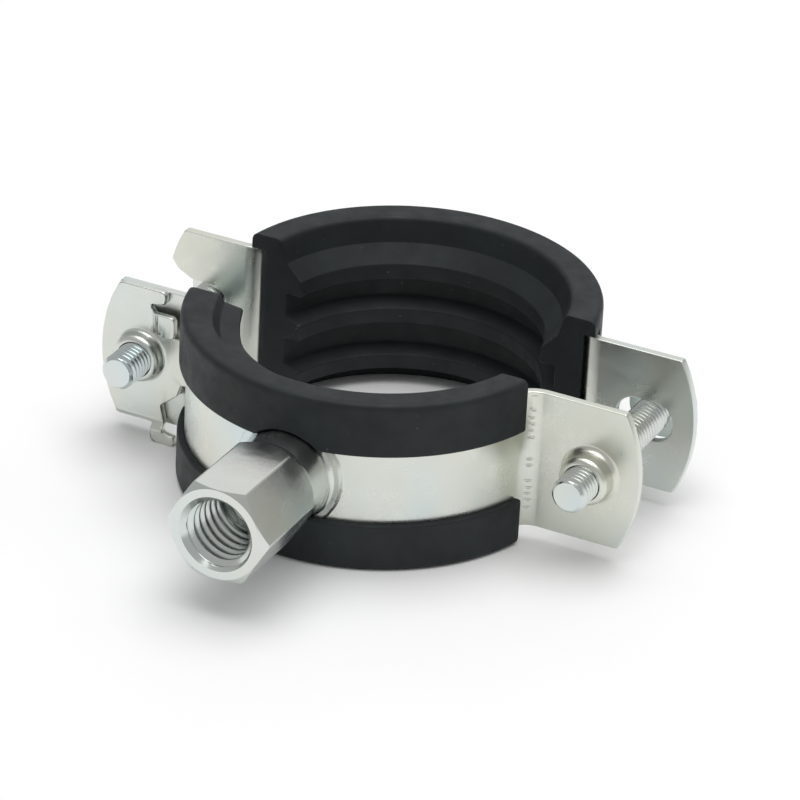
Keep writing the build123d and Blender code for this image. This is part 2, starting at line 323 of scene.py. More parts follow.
class StageSettings(bpy.types.PropertyGroup):
    """Floor colour and camera."""
    floor: bpy.props.FloatVectorProperty(
        name="Floor", description="Colour of the floor",
        subtype="COLOR", size=3, default=(0.96, 0.96, 0.96), min=0.0, max=1.0)
    azimuth: bpy.props.FloatProperty(
        name="Azimuth", description="Camera bearing round the object",
        subtype="ANGLE", default=math.radians(25.05))
    elevation: bpy.props.FloatProperty(
        name="Elevation", description="Camera height above the horizon",
        subtype="ANGLE", default=math.radians(27.571))
    roll: bpy.props.FloatProperty(
        name="Roll", description="Camera turn about its line of sight",
        subtype="ANGLE", default=math.radians(3.117))
    lens: bpy.props.FloatProperty(
        name="Focal Length", description="Camera focal length in millimetres",
        default=230.63, min=1.0)
    place: bpy.props.FloatVectorProperty(
        name="Camera Place", description="Where the camera stands",
        subtype="XYZ", unit="LENGTH", size=3, default=(0.262515, -0.553104, 0.319317))


# ------------------------ outlines

def smooth(value):
    """Smooth step from 0 to 1."""
    held = min(max(value, 0.0), 1.0)
    return held * held * (3 - 2 * held)


def quarter_turns(steps):
    """Angles from 0 to a quarter turn."""
    return [math.pi / 2 * k / steps for k in range(steps + 1)]


def arc(centre, radius, start, end, steps):
    """Points on a circle from start to end degrees."""
    turns = [math.radians(start + (end - start) * i / steps) for i in range(steps + 1)]
    return [(centre[0] + radius * math.cos(t), centre[1] + radius * math.sin(t)) for t in turns]


def bow(start, middle, end, steps):
    """Points on the circle through three points, from start to end."""
    a, b, c = Vector(start), Vector(middle), Vector(end)
    ab, ac = b - a, c - a
    cross = 2 * (ab.x * ac.y - ab.y * ac.x)
    centre = a + Vector((ac.y * ab.length_squared - ab.y * ac.length_squared,
                         ab.x * ac.length_squared - ac.x * ab.length_squared)) / cross
    first = math.atan2(a.y - centre.y, a.x - centre.x)
    last = math.atan2(c.y - centre.y, c.x - centre.x)
    turn = (last - first + math.pi) % math.tau - math.pi
    radius = (a - centre).length
    return [(centre.x + radius * math.cos(first + turn * i / steps),
             centre.y + radius * math.sin(first + turn * i / steps)) for i in range(steps + 1)]


def rounded(corners, steps=5):
    """Closed outline with its corners rounded; corners are (x, y, radius)."""
    outline = []
    count = len(corners)
    for i, (x, y, radius) in enumerate(corners):
        corner = Vector((x, y))
        before = Vector(corners[i - 1][:2]) - corner
        after = Vector(corners[(i + 1) % count][:2]) - corner
        opening = before.angle(after, math.pi)
        if radius <= 0 or opening > STRAIGHT_ANGLE:
            outline.append((x, y))
            continue
        reach = min(radius / math.tan(opening / 2),
                    CORNER_SHARE * before.length, CORNER_SHARE * after.length)
        start, end = corner + before.normalized() * reach, corner + after.normalized() * reach
        for k in range(steps + 1):
            t = k / steps
            point = start * (1 - t) ** 2 + corner * 2 * t * (1 - t) + end * t ** 2
            outline.append(tuple(point))
    return outline


def ring_outline(x, radius, steps=COLLAR_STEPS):
    """Circle round a screw axis at x, clockwise from the top."""
    return [(x + radius * math.sin(math.tau * i / steps),
             radius * math.cos(math.tau * i / steps)) for i in range(steps)]


def slot_outline(ends, half_height, steps=14):
    """Oblong opening between its two outermost points."""
    left, right = ends[0] + half_height, ends[1] - half_height
    return (arc((right, 0), half_height, -90, 90, steps)
            + arc((left, 0), half_height, 90, 270, steps))


# ------------------------ sheet metal

def bridge(mesh, low, high):
    """Quads between two closed rings of the same length."""
    for i, vert in enumerate(low):
        j = (i + 1) % len(low)
        mesh.faces.new((vert, low[j], high[j], high[i]))


def flat_sheet(outline, holes, pad_radii=()):
    """Flat triangulated blank with holes; pad_radii are the rings of a disc at the origin."""
    flat = bmesh.new()
    circles = [arc((0, 0), radius, 0, 360, COLLAR_STEPS)[:-1] for radius in pad_radii]
    for loop in (outline, *holes, *circles[:1]):
        verts = [flat.verts.new((x, y, 0)) for x, y in loop]
        for a, b in zip(verts, verts[1:] + verts[:1]):
            flat.edges.new((a, b))
    bmesh.ops.triangle_fill(flat, edges=flat.edges[:], use_beauty=True, normal=(0, 0, 1))
    if circles:
        rings = [[flat.verts.new((x, y, 0)) for x, y in circle] for circle in circles]
        for outer, inner in zip(rings, rings[1:]):
            bridge(flat, outer, inner)
        flat.faces.new(rings[-1])
    bmesh.ops.remove_doubles(flat, verts=flat.verts[:], dist=WELD)
    return flat


def cut_line(flat, geometry, axis, station):
    """Cut the given part of a flat blank along the straight line at a station of an axis."""
    normal = Vector((1, 0, 0)) if axis == 0 else Vector((0, 1, 0))
    bmesh.ops.bisect_plane(flat, geom=geometry, dist=WELD, plane_co=normal * station,
                           plane_no=normal)


def cut_across(flat, stations, axis):
    """Cut a whole flat blank along straight lines at the given stations of an axis."""
    for station in stations:
        cut_line(flat, flat.verts[:] + flat.edges[:] + flat.faces[:], axis, station)


def snap_to_ring(flat, ring):
    """Move boundary points that the cuts left between two points of a ring onto the nearer one."""
    centre = sum((Vector(p) for p in ring), Vector((0, 0))) / len(ring)
    radius = (Vector(ring[0]) - centre).length
    for vert in flat.verts:
        if abs((vert.co.xy - centre).length - radius) < ON_RING:
            nearest = min(ring, key=lambda p: (Vector(p) - vert.co.xy).length)
            vert.co = (*nearest, 0)
    bmesh.ops.remove_doubles(flat, verts=flat.verts[:], dist=WELD)


def cut_patch(flat, low, high, pitch):
    """Cut a fine grid into the part of a flat blank between two corners."""
    for axis in (0, 1):
        for k in range(int((high[axis] - low[axis]) / pitch[axis]) + 1):
            faces = [f for f in flat.faces if low[0] < f.calc_center_median().x < high[0]
                     and low[1] < f.calc_center_median().y < high[1]]
            around = {e for f in faces for e in f.edges} | {v for f in faces for v in f.verts}
            cut_line(flat, faces + list(around), axis, low[axis] + pitch[axis] * k)


def outward(flat):
    """Outward direction of each boundary vertex of a flat blank, scaled to keep an even inset."""
    found = {}
    for edge in flat.edges:
        if len(edge.link_faces) != 1:
            continue
        a, b = edge.verts
        along = (b.co - a.co).normalized()
        side = Vector((along.y, -along.x, 0))
        if side.dot(edge.link_faces[0].calc_center_median() - a.co) > 0:
            side.negate()
        for vert in (a, b):
            found.setdefault(vert, []).append(side)
    scaled = {}
    for vert, sides in found.items():
        mean = sum(sides, Vector()) / len(sides)
        scaled[vert] = mean / max(mean.length_squared, LEAST_INSET)
    return scaled


def thicken(flat, thickness, edge, place, open_holes=()):
    """Solid sheet from a flat blank: rounded sheared edges, bent by place(s, z, n).

    open_holes are (centre, radius) circles that get no wall, because a collar is welded there.
    """
    sheet = bmesh.new()
    out = outward(flat)

    def is_open(vert):
        return any(abs((vert.co.xy - Vector(centre)).length - radius) < ON_RING
                   for centre, radius in open_holes)

    chains = {}
    for vert in flat.verts:
        s, z = vert.co.x, vert.co.y
        if vert not in out or is_open(vert):
            chains[vert] = [sheet.verts.new(place(s, z, n))
                            for n in (thickness / 2, -thickness / 2)]
            continue
        front, back = [], []
        for turn in quarter_turns(EDGE_STEPS):
            inset = edge * (1 - math.sin(turn))
            level = thickness / 2 - edge * (1 - math.cos(turn))
            x, y = s - inset * out[vert].x, z - inset * out[vert].y
            front.append(sheet.verts.new(place(x, y, level)))
            back.append(sheet.verts.new(place(x, y, -level)))
        chains[vert] = front + back[::-1]
    for face in flat.faces:
        sheet.faces.new([chains[v][0] for v in face.verts])
        sheet.faces.new([chains[v][-1] for v in reversed(face.verts)])
    for rim in flat.edges:
        a, b = rim.verts
        if len(rim.link_faces) != 1 or is_open(a) or is_open(b):
            continue
        for k in range(2 * EDGE_STEPS + 1):
            sheet.faces.new((chains[a][k], chains[b][k], chains[b][k + 1], chains[a][k + 1]))
    flat.free()
    return sheet


class Strip:
    """Path of the bent strip: ring, two bends and two straight ears."""

    def __init__(self, thickness):
        self.thickness = thickness
        self.radius = BAND_RADIUS - thickness / 2
        self.bend = BEND_RADIUS + thickness / 2
        self.ear_y = -(EAR_FACE - thickness / 2)
        self.centre_y = self.ear_y - self.bend
        self.centre_x = math.sqrt((self.radius + self.bend) ** 2 - self.centre_y ** 2)
        self.turn = math.atan2(self.centre_x, -self.centre_y)
        self.ring_end = self.radius * self.turn
        self.ear_start = self.ring_end + self.bend * self.turn

    def flat_x(self, x):
        """Station along the strip of an ear point at x."""
        return math.copysign(self.ear_start + abs(x) - self.centre_x, x)

    def place(self, s, z, n):
        """Point at station s, height z and distance n in front of the strip's middle."""
        side, along = math.copysign(1, s), abs(s)
        if along <= self.ring_end:
            angle = along / self.radius
            return Vector((side * (self.radius + n) * math.sin(angle),
                           -(self.radius + n) * math.cos(angle), z))
        if along < self.ear_start:
            angle = (self.ear_start - along) / self.bend
            return Vector((side * (self.centre_x - (self.bend - n) * math.sin(angle)),
                           self.centre_y + (self.bend - n) * math.cos(angle), z))
        return Vector((side * (self.centre_x + along - self.ear_start), self.ear_y - n, z))

    def stations(self):
        """Stations that keep the ring and the bends round."""
        ring = [self.ring_end * (i / RING_STEPS) for i in range(-RING_STEPS, RING_STEPS + 1)]
        bends = [self.ring_end + (self.ear_start - self.ring_end) * i / BEND_STEPS
                 for i in range(1, BEND_STEPS + 1)]
        return ring + bends + [-s for s in bends]


def bowed_end(x, bulge, high, low, radius):
    """Bowed end of a blank from height high to low, its two corners marked for rounding."""
    points = bow((x, high), (x + bulge, 0), (x, low), BOW_STEPS)
    return [(*point, radius if i in (0, BOW_STEPS) else 0) for i, point in enumerate(points)]


def clear_corners(corners, reach):
    """Outline without the unmarked points that lie within reach of a marked corner."""
    marked = [Vector(c[:2]) for c in corners if c[2] > 0]
    return [c for c in corners
            if c[2] > 0 or all((Vector(c[:2]) - m).length > reach for m in marked)]


def blank_outline(strip, left_run=()):
    """Closed blank outline; left_run replaces the middle of the left end where a mouth opens."""
    right, left = strip.flat_x(RIGHT_EAR_CORNER), strip.flat_x(-LEFT_EAR_CORNER)
    right_end = bowed_end(right, EAR_BOW, -HALF_WIDTH, HALF_WIDTH, EAR_CORNER_RADIUS)
    left_end = bowed_end(left, -EAR_BOW, HALF_WIDTH, -HALF_WIDTH, EAR_CORNER_RADIUS)
    if left_run:
        reach = abs(left_run[0][1]) + MOUTH_MARGIN
        left_end = ([c for c in left_end if c[1] > reach] + left_run
                    + [c for c in left_end if c[1] < -reach])
    return rounded(clear_corners(right_end + left_end, CORNER_REACH))


def thread_lathe(mesh, x, stations, wave, pitch, steps=COLLAR_STEPS):
    """Helical thread surface about the line along +Y through x.

    stations is (y_from, y_to); wave(share, y) gives the radius at a share of the pitch.
    """
    y_from, y_to = stations
    rows = []
    for lane in range(int(math.ceil((y_to - y_from) / pitch) + 1) * THREAD_LANES + 1):
        row = []
        for i in range(steps + 1):
            y = y_from + pitch * (lane / THREAD_LANES + i / steps - 1)
            turn = math.tau * i / steps
            held = min(max(y, y_from), y_to)
            radius = wave((lane % THREAD_LANES) / THREAD_LANES, held)
            row.append(mesh.verts.new((x + radius * math.sin(turn), held,
                                       radius * math.cos(turn))))
        rows.append(row)
    for low, high in zip(rows, rows[1:]):
        for i in range(steps):
            corners = (low[i], low[i + 1], high[i + 1], high[i])
            if max(v.co.y for v in corners) - min(v.co.y for v in corners) > WELD / 4:
                mesh.faces.new(corners)


def lathe(mesh, x, profile, steps=COLLAR_STEPS):
    """Surface of revolution about the line along Y through x; profile is (radius, y)."""
    rows = [[mesh.verts.new((side, y, z)) for side, z in ring_outline(x, radius, steps)]
            for radius, y in profile]
    for low, high in zip(rows, rows[1:]):
        bridge(mesh, low, high)
    return rows


def thread_wave(minor, major, crest=0.16, root=0.2):
    """Radius of a 60 degree thread at a share of its pitch, crest outwards."""
    flank = (1 - crest - root) / 2

    def wave(share):
        if share < crest:
            return major
        if share < crest + flank:
            return major - (major - minor) * (share - crest) / flank
        if share < crest + flank + root:
            return minor
        return minor + (major - minor) * (share - crest - flank - root) / flank
    return wave


def add_collar(mesh, x, face_y, back_y, root):
    """Threaded collar drawn out of a sheet, with a root fillet, round rim and back funnel."""
    bore = SCREW_RADIUS + THREAD_CLEARANCE
    rim = COLLAR_RIM_FILLET
    outer = [(COLLAR_RADIUS + root - root * math.sin(t), face_y - root + root * math.cos(t))
             for t in quarter_turns(FILLET_STEPS)]
    rim_arc = [(COLLAR_RADIUS - rim + rim * math.cos(t), COLLAR_FRONT_Y + rim - rim * math.sin(t))
               for t in quarter_turns(FILLET_STEPS)]
    mouth = [(bore + COLLAR_MOUTH[0], COLLAR_FRONT_Y + COLLAR_MOUTH[1]),
             (bore, COLLAR_FRONT_Y + COLLAR_THREAD_START)]
    lathe(mesh, x, outer + rim_arc + mouth)
    wave = thread_wave(bore, bore + COLLAR_THREAD_DEPTH)
    thread_from, thread_to = COLLAR_FRONT_Y + COLLAR_THREAD_START, back_y - COLLAR_FUNNEL

    def radius(share, y):
        fade = min(1.0, (y - thread_from) / COLLAR_THREAD_FADE,
                   (thread_to - y) / COLLAR_THREAD_FADE)
        return bore + (wave(share) - bore) * max(fade, 0.0)

    thread_lathe(mesh, x, (thread_from, thread_to), radius, SCREW_PITCH)
    funnel = [(bore + COLLAR_FUNNEL - COLLAR_FUNNEL * math.cos(t),
               back_y - COLLAR_FUNNEL + COLLAR_FUNNEL * math.sin(t))
              for t in quarter_turns(FUNNEL_STEPS)]
    lathe(mesh, x, funnel + [(COLLAR_RADIUS + root, back_y)])


def flatten_pad(point):
    """Press the band flat where the connecting nut is seated."""
    reach = math.hypot(point.x, point.z)
    blend = smooth((PAD_RADIUS + PAD_BLEND - reach) / PAD_BLEND)
    ring = -math.sqrt(max(BAND_RADIUS ** 2 - point.x ** 2, 0))
    return Vector((point.x, point.y + blend * (PAD_FACE_Y - ring), point.z))


def die_mark(s, z):
    """Depth of the short bite marks that the bending die leaves in a column."""
    row = round(z / DIE_MARK_PITCH)
    if row in DIE_MARK_SKIPPED:
        return 0.0
    across = (z - row * DIE_MARK_PITCH - DIE_MARK_SWAY * math.sin(5 * row)) / DIE_MARK_HALF[1]
    along = (s - DIE_MARK_SWAY * math.sin(3 * row)) / DIE_MARK_HALF[0]
    return DIE_MARK_DEPTH * max(0.0, 1 - across * across) * max(0.0, 1 - along * along)


def front_band_mesh(size):
    """Front band: pad under the nut, threaded right collar, swing slot and tongue window."""
    thickness, edge = size.thickness / MM, size.edge / MM
    strip = Strip(thickness)
    collar_s = strip.flat_x(RIGHT_SCREW_X)
    shift = strip.flat_x(1.0) - 1.0
    slot = [(x - shift, y) for x, y in slot_outline(SWING_SLOT_ENDS, SLOT_HALF_HEIGHT)]
    window_ends = (-strip.ear_start - WINDOW_LEAD, -strip.ring_end + WINDOW_NECK)
    window = rounded([(window_ends[side], WINDOW_Z[level], WINDOW_ROUNDING)
                      for side, level in ((0, 0), (1, 0), (1, 1), (0, 1))])
    collar_root = COLLAR_RADIUS + COLLAR_ROOT_FILLET
    flat = flat_sheet(blank_outline(strip), [slot, window, ring_outline(collar_s, collar_root)],
                      PAD_RADII)
    cut_across(flat, strip.stations(), 0)
    marks_s = strip.ring_end + DIE_MARK_PLACE
    cut_patch(flat, (marks_s - DIE_PATCH_HALF, DIE_PATCH_Z[0]),
              (marks_s + DIE_PATCH_HALF, DIE_PATCH_Z[1]), DIE_PATCH_GRID)

    def place(s, z, n):
        if n > 0 and abs(s - marks_s) < DIE_PATCH_HALF:
            n -= die_mark(s - marks_s, z)
        point = strip.place(s, z, n)
        if abs(s) < 2 * PAD_RADIUS:
            return flatten_pad(point)
        return point

    band = thicken(flat, thickness, edge, place, [((collar_s, 0), collar_root)])
    add_collar(band, RIGHT_SCREW_X, -EAR_FACE, -EAR_FACE + thickness, COLLAR_ROOT_FILLET)
    return band


def back_band_mesh(size):
    """Back band: oblong slot in the right ear, open funnel mouth in the left ear."""
    thickness, edge = size.thickness / MM, size.edge / MM
    strip = Strip(thickness)
    shift = strip.flat_x(1.0) - 1.0
    slot = [(x + shift, y) for x, y in slot_outline(RIGHT_SLOT_ENDS, SLOT_HALF_HEIGHT)]
    centre = MOUTH_INNER_END - MOUTH_HALF_HEIGHT
    inner = [(x - shift, y, 0) for x, y in arc((centre, 0), MOUTH_HALF_HEIGHT, 90, -90, 16)]
    funnel = [(x - shift, z) for x, z in MOUTH_FUNNEL]
    upper = [(x, z, r) for (x, z), r in zip(reversed(funnel), MOUTH_ROUNDING)]
    lower = [(x, -z, r) for x, z, r in reversed(upper)]
    flat = flat_sheet(blank_outline(strip, upper + inner + lower), [slot])
    cut_across(flat, strip.stations(), 0)
    band = thicken(flat, thickness, edge, strip.place)
    bmesh.ops.transform(band, matrix=to_back(), verts=band.verts[:])
    return band


def to_back():
    """Matrix that turns a front half mesh into the back half."""
    return Matrix.Translation((0, HALF_OPENING, 0)) @ Matrix.Diagonal((1, -1, 1, 1))


# ------------------------ lock plate

def lock_plate_mesh(size):
    """Quick-lock plate: bowed plate, two stepped tabs, hinge tongue and threaded collar."""
    edge = size.edge / MM
    left_end = bowed_end(-PLATE_LEFT_CORNER, -PLATE_BOW, PLATE_TOP, PLATE_BOTTOM,
                         PLATE_CORNER_RADIUS)
    run = clear_corners(left_end, 2 * PLATE_CORNER_RADIUS)
    run += PLATE_RUN
    collar_root = COLLAR_RADIUS + PLATE_ROOT_FILLET
    collar_hole = ring_outline(LEFT_SCREW_X, collar_root)
    flat = flat_sheet(rounded(run[::-1]), [collar_hole])
    cut_across(flat, [SLIT_END_X + FOLD_PITCH * i for i in range(-8, 12)], 0)
    cut_across(flat, [LOWER_FOLD_Z - FOLD_PITCH * i for i in range(12)], 1)
    snap_to_ring(flat, collar_hole)
    middle_y = (PLATE_FRONT_Y - EAR_FACE) / 2

    def place(x, z, n):
        on_tab = (TONGUE_Z[1] + UPPER_TAB_Z[0]) / 2 < z < UPPER_TAB_Z[1] + TAB_MARGIN
        start = SLIT_END_X - TAB_LEAD * smooth((z - UPPER_TAB_Z[0]) / TAB_LEAD)
        upper = smooth((x - start) / JOGGLE_RUN) if on_tab else 0
        lower = smooth((LOWER_JOGGLE_Z - z) / JOGGLE_RUN)
        return Vector((x, middle_y - n - JOGGLE_DEPTH * max(upper, lower), z))

    plate = thicken(flat, PLATE_THICKNESS, edge, place, [((LEFT_SCREW_X, 0), collar_root)])
    add_collar(plate, LEFT_SCREW_X, PLATE_FRONT_Y, -EAR_FACE, PLATE_ROOT_FILLET)
    return plate


# ------------------------ linings

def lining_outline(lip, inner_run):
    """Rounded lining section as (radius, z): lips, crowns and the ribbed inner run."""
    bore, band, outer = BAND_RADIUS - STRIP_THICKNESS, BAND_RADIUS, BAND_RADIUS + lip
    inner_rounding, outer_rounding = LIP_ROUNDING
    top, edge = LINING_HIGH.z, HALF_WIDTH
    upper_lip = [(band, edge, 0.0), (band, LIP_REACH[0], inner_rounding),
                 (outer, LIP_REACH[0], outer_rounding)]
    lower_lip = [(outer, LIP_REACH[1], outer_rounding), (band, LIP_REACH[1], inner_rounding),
                 (band, -edge, 0.0)]
    crown = [(outer, edge, 0.0), (outer, top, CROWN_ROUNDING)]
    foot = [(outer, -top, CROWN_ROUNDING), (outer, -edge, 0.0)]
    groove = [(bore, -edge, 0.0), (bore, edge, 0.0)]
    return rounded(upper_lip + crown + list(inner_run) + foot + lower_lip + groove, 6)


def inset_outline(points, distance):
    """Closed outline moved inwards by a small distance."""
    area = sum(a[0] * b[1] - b[0] * a[1] for a, b in zip(points, points[1:] + points[:1]))
    sign = 1 if area > 0 else -1
    moved = []
    for i, point in enumerate(points):
        before, after = Vector(points[i - 1]), Vector(points[(i + 1) % len(points)])
        along = (after - before).normalized()
        moved.append((point[0] - sign * distance * along.y, point[1] + sign * distance * along.x))
    return moved


def sweep_stations(dense):
    """Shares of the half turn, from -1 to 1, closer together round the nut."""
    coarse = [i / SWEEP_STEPS for i in range(-SWEEP_STEPS, SWEEP_STEPS + 1)]
    reach, parts = FINE_SWEEP
    fine = [i / parts for i in range(-reach, reach + 1)] if dense else []
    return sorted(set(round(s, 5) for s in coarse + fine))


def flare(point):
    """Lead the outer face of the web out along the bend of the strip."""
    bend = BEND_RADIUS + STRIP_THICKNESS
    centre_y = -EAR_FACE - BEND_RADIUS
    centre_x = math.sqrt((BAND_RADIUS + BEND_RADIUS) ** 2 - centre_y ** 2)
    reach = bend ** 2 - (point.y - centre_y) ** 2
    if reach > 0:
        strip_x = centre_x - math.sqrt(reach)
        held = max(abs(point.x), min(strip_x - WEB_FLARE_GAP, WEB_FLARE_X))
        point.x = math.copysign(held, point.x)
    return point


def swell(radius, z, share):
    """Section point of the front lining, swollen towards its cut left end."""
    if radius < BAND_RADIUS - SWELL_DEPTH and z > SWELL_Z[0]:
        amount = smooth((-share - END_SWELL_SHARE) / (1 - END_SWELL_SHARE))
        if z > SWELL_Z[1]:
            return radius + END_SWELL[0] * amount, z
        return radius + END_SWELL[0] * 0.5 * amount, z + END_SWELL[1] * amount
    return radius, z


def section_at(mesh, outline, share, end_y, form):
    """One ring of lining vertices; share 1 lies on the end plane at -end_y."""
    ring = []
    for radius, z in outline:
        swollen, raised = swell(radius, z, share) if form else (radius, z)
        angle = share * math.acos(min(end_y / swollen, 1.0))
        point = Vector((swollen * math.sin(angle), -swollen * math.cos(angle), raised))
        on_web = FLARED_RADII[0] < radius < FLARED_RADII[1] and abs(z) <= HALF_WIDTH
        if end_y < LIP_END_Y and on_web:
            point = flare(point)
        ring.append(mesh.verts.new(nut_notch(point, radius) if form else point))
    return ring


def nut_notch(point, radius):
    """Lip points drawn back round the neck of the nut and over its pad."""
    moved = point.copy()
    clear = NUT_NECK_RADIUS + NOTCH_GAP
    if radius > BAND_RADIUS - WELD and abs(point.z) < HALF_WIDTH and abs(point.x) < clear:
        limit = math.sqrt(clear ** 2 - point.x ** 2)
        lip_edge = LIP_REACH[0] if point.z > 0 else -LIP_REACH[1]
        if limit > lip_edge:
            share = (HALF_WIDTH - abs(point.z)) / (HALF_WIDTH - lip_edge)
            moved.z = math.copysign(HALF_WIDTH - share * (HALF_WIDTH - limit), point.z)
    if (BAND_RADIUS - WELD < radius < BAND_RADIUS + NOTCH_DEPTH
            and math.hypot(moved.x, moved.z) < PAD_RADIUS + PAD_BLEND):
        moved.y = min(moved.y, PAD_FACE_Y - PAD_GAP)
    return moved


def close_lips(mesh, ring, outline):
    """Close the two lips at the end of their run; returns the ring and outline of the body."""
    def on_body(point):
        return point[0] <= BAND_RADIUS - WELD or abs(point[1]) >= HALF_WIDTH - WELD

    for half in (1, -1):
        mesh.faces.new([v for v, p in zip(ring, outline) if p[0] > BAND_RADIUS - WELD
                        and abs(p[1]) < HALF_WIDTH + WELD and math.copysign(1, p[1]) == half])
    return ([v for v, p in zip(ring, outline) if on_body(p)],
            [p for p in outline if on_body(p)])


def lining_mesh(size, inner_run, front):
    """Lining of one half, as a front half: lips stop short of the ears, the body may run on.

    The right end of the front lining stops where its lips do.
    """
    outline = lining_outline(size.lip / MM, inner_run)
    mesh = bmesh.new()
    rings = [section_at(mesh, outline, s, LIP_END_Y, front) for s in sweep_stations(front)]
    for low, high in zip(rings, rings[1:]):
        bridge(mesh, low, high)
    edge_break, end_break = END_BREAK
    for side, low in ((-1, rings[0]), (1, rings[-1])):
        loop, end, run = outline, LIP_END_Y - end_break, []
        if not (front and side > 0):
            low, loop = close_lips(mesh, low, outline)
            end = FRONT_LINING_END_Y if front else LINING_END_Y
            steps = int((LIP_END_Y - end) / LINING_END_STEP)
            run = [(LIP_END_Y - (LIP_END_Y - end - end_break) * k / steps, 0.0)
                   for k in range(1, steps + 1)]
        for end_y, inset in (*run, (end + edge_break, edge_break), (end, end_break)):
            section = inset_outline(loop, inset) if inset else loop
            high = section_at(mesh, section, side, end_y, front)
            bridge(mesh, low, high)
            low = high
        mesh.faces.new(low)
    return mesh


# ------------------------ connecting nut

def hex_radius(turn, across_flats):
    """Distance from the axis to a slightly rounded hexagon with corners at +-X."""
    part = (turn + math.pi / 6) % (math.pi / 3) - math.pi / 6
    apothem, corner = across_flats / 2, across_flats / math.sqrt(3)
    return min(apothem / math.cos(math.pi / 6 - abs(part)), corner - NUT_CORNER_BREAK)


def nut_turns():
    """Angles round the hexagon, closer together at the corners."""
    shares = (0, 0.012, 0.024, 0.036, 0.05, 0.12, 0.24, 0.37, 0.5)
    half = list(shares) + [1 - s for s in reversed(shares[1:-1])]
    return [(side + s) * math.pi / 3 for side in range(6) for s in half]


def add_rod_thread(mesh, minor, major, pitch, y_from, y_to, mouth):
    """Internal thread along Y with a countersunk mouth and a run-out."""
    wave = thread_wave(minor, major, crest=0.14, root=0.22)

    def radius(share, y):
        fade = min(max((y_to - y) / pitch, 0.0), 1.0)
        threaded = minor + (wave(share) - minor) * fade
        return max(threaded, mouth - (y - y_from) * NUT_MOUTH_SLOPE)

    thread_lathe(mesh, 0, (y_from, y_to), radius, pitch)


def nut_mesh(size):
    """Connecting nut: chamfered hexagon, round neck seated on the pad, two threads in the bore."""
    mesh = bmesh.new()
    across = size.across_flats / MM
    corner = across / math.sqrt(3)
    front = NUT_FRONT_Y
    face_radius = corner - 2 * NUT_CHAMFER
    columns = []
    for turn in nut_turns():
        flank = hex_radius(turn, across)
        cut = (flank - face_radius) * NUT_CHAMFER_SLOPE
        back_cut = (flank - NUT_NECK_RADIUS) * NUT_BACK_CHAMFER
        column = [(face_radius, front), (flank, front + cut)]
        rise = NUT_HEX_BACK_Y - front - cut - back_cut
        column += [(flank, front + cut + rise * k / FLANK_STEPS)
                   for k in range(1, FLANK_STEPS + 1)]
        column += [(NUT_NECK_RADIUS + NUT_NECK_STEP, NUT_HEX_BACK_Y),
                   (NUT_NECK_RADIUS, NUT_HEX_BACK_Y + NUT_NECK_FILLET)]
        column += [(NUT_NECK_RADIUS + out, PAD_FACE_Y - up) for out, up in NUT_FOOT]
        columns.append([mesh.verts.new((r * math.cos(turn), y, r * math.sin(turn)))
                        for r, y in column])
    for left, right in zip(columns, columns[1:] + columns[:1]):
        for k in range(len(left) - 1):
            mesh.faces.new((left[k], left[k + 1], right[k + 1], right[k]))
    mesh.faces.new([column[-1] for column in columns])
    major = size.thread / 2 / MM
    mouth = major + NUT_MOUTH_GROWTH
    pitch = size.pitch / MM
    minor = major - MINOR_SHARE * pitch
    thread_end = front + ROD_THREAD_DEPTH
    inner_end = thread_end + INNER_THREAD_DEPTH
    add_rod_thread(mesh, minor, major, pitch, front, thread_end, mouth)
    add_rod_thread(mesh, *INNER_THREAD_RADII, INNER_THREAD_PITCH, thread_end, inner_end, minor)
    mouth_ring = [mesh.verts.new((x, front, z)) for x, z in ring_outline(0, mouth)]
    face_loop = [column[0] for column in columns]
    rim = []
    for loop in (mouth_ring, face_loop):
        for a, b in zip(loop, loop[1:] + loop[:1]):
            rim.append(mesh.edges.get((a, b)) or mesh.edges.new((a, b)))
    bmesh.ops.triangle_fill(mesh, edges=rim, use_beauty=True, normal=(0, -1, 0))
    rows = lathe(mesh, 0, [(radius, inner_end + depth) for radius, depth in DRILL_POINT])
    mesh.faces.new(rows[-1])
    return mesh


# ------------------------ screws

def screw_mesh(x, tip_y, head_y):
    """Fully threaded M5 screw with a chamfered tip and a plain pan head."""
    mesh = bmesh.new()
    seat_y = head_y - HEAD_HEIGHT
    wave = thread_wave(SCREW_ROOT_RADIUS, SCREW_CREST_RADIUS)

    def radius(share, y):
        fade = min(max((seat_y - y) / SCREW_PITCH, 0.0), 1.0)
        crest = (wave(share) - SCREW_ROOT_RADIUS - SCREW_RUN_OUT) * fade
        return min(SCREW_ROOT_RADIUS + SCREW_RUN_OUT + crest, TIP_RADIUS + (y - tip_y))

    thread_lathe(mesh, x, (tip_y, seat_y), radius, SCREW_PITCH, SCREW_STEPS)
    face = [(r, tip_y + lift) for r, lift in TIP_FACE]
    lathe(mesh, x, face + [(TIP_RADIUS, tip_y)], steps=SCREW_STEPS)
    crown = [(r, head_y - drop) for r, drop in reversed(HEAD_CROWN)]
    lathe(mesh, x, [(SCREW_ROOT_RADIUS + SCREW_RUN_OUT, seat_y)] + crown, steps=SCREW_STEPS)
    for y in (face[0][1], head_y):
        rim = [v for v in mesh.verts if abs(v.co.y - y) < WELD / 2
               and (v.co - Vector((x, y, 0))).length < 0.3]
        mesh.faces.new(sorted(rim, key=lambda v: math.atan2(v.co.x - x, v.co.z)))
    return mesh


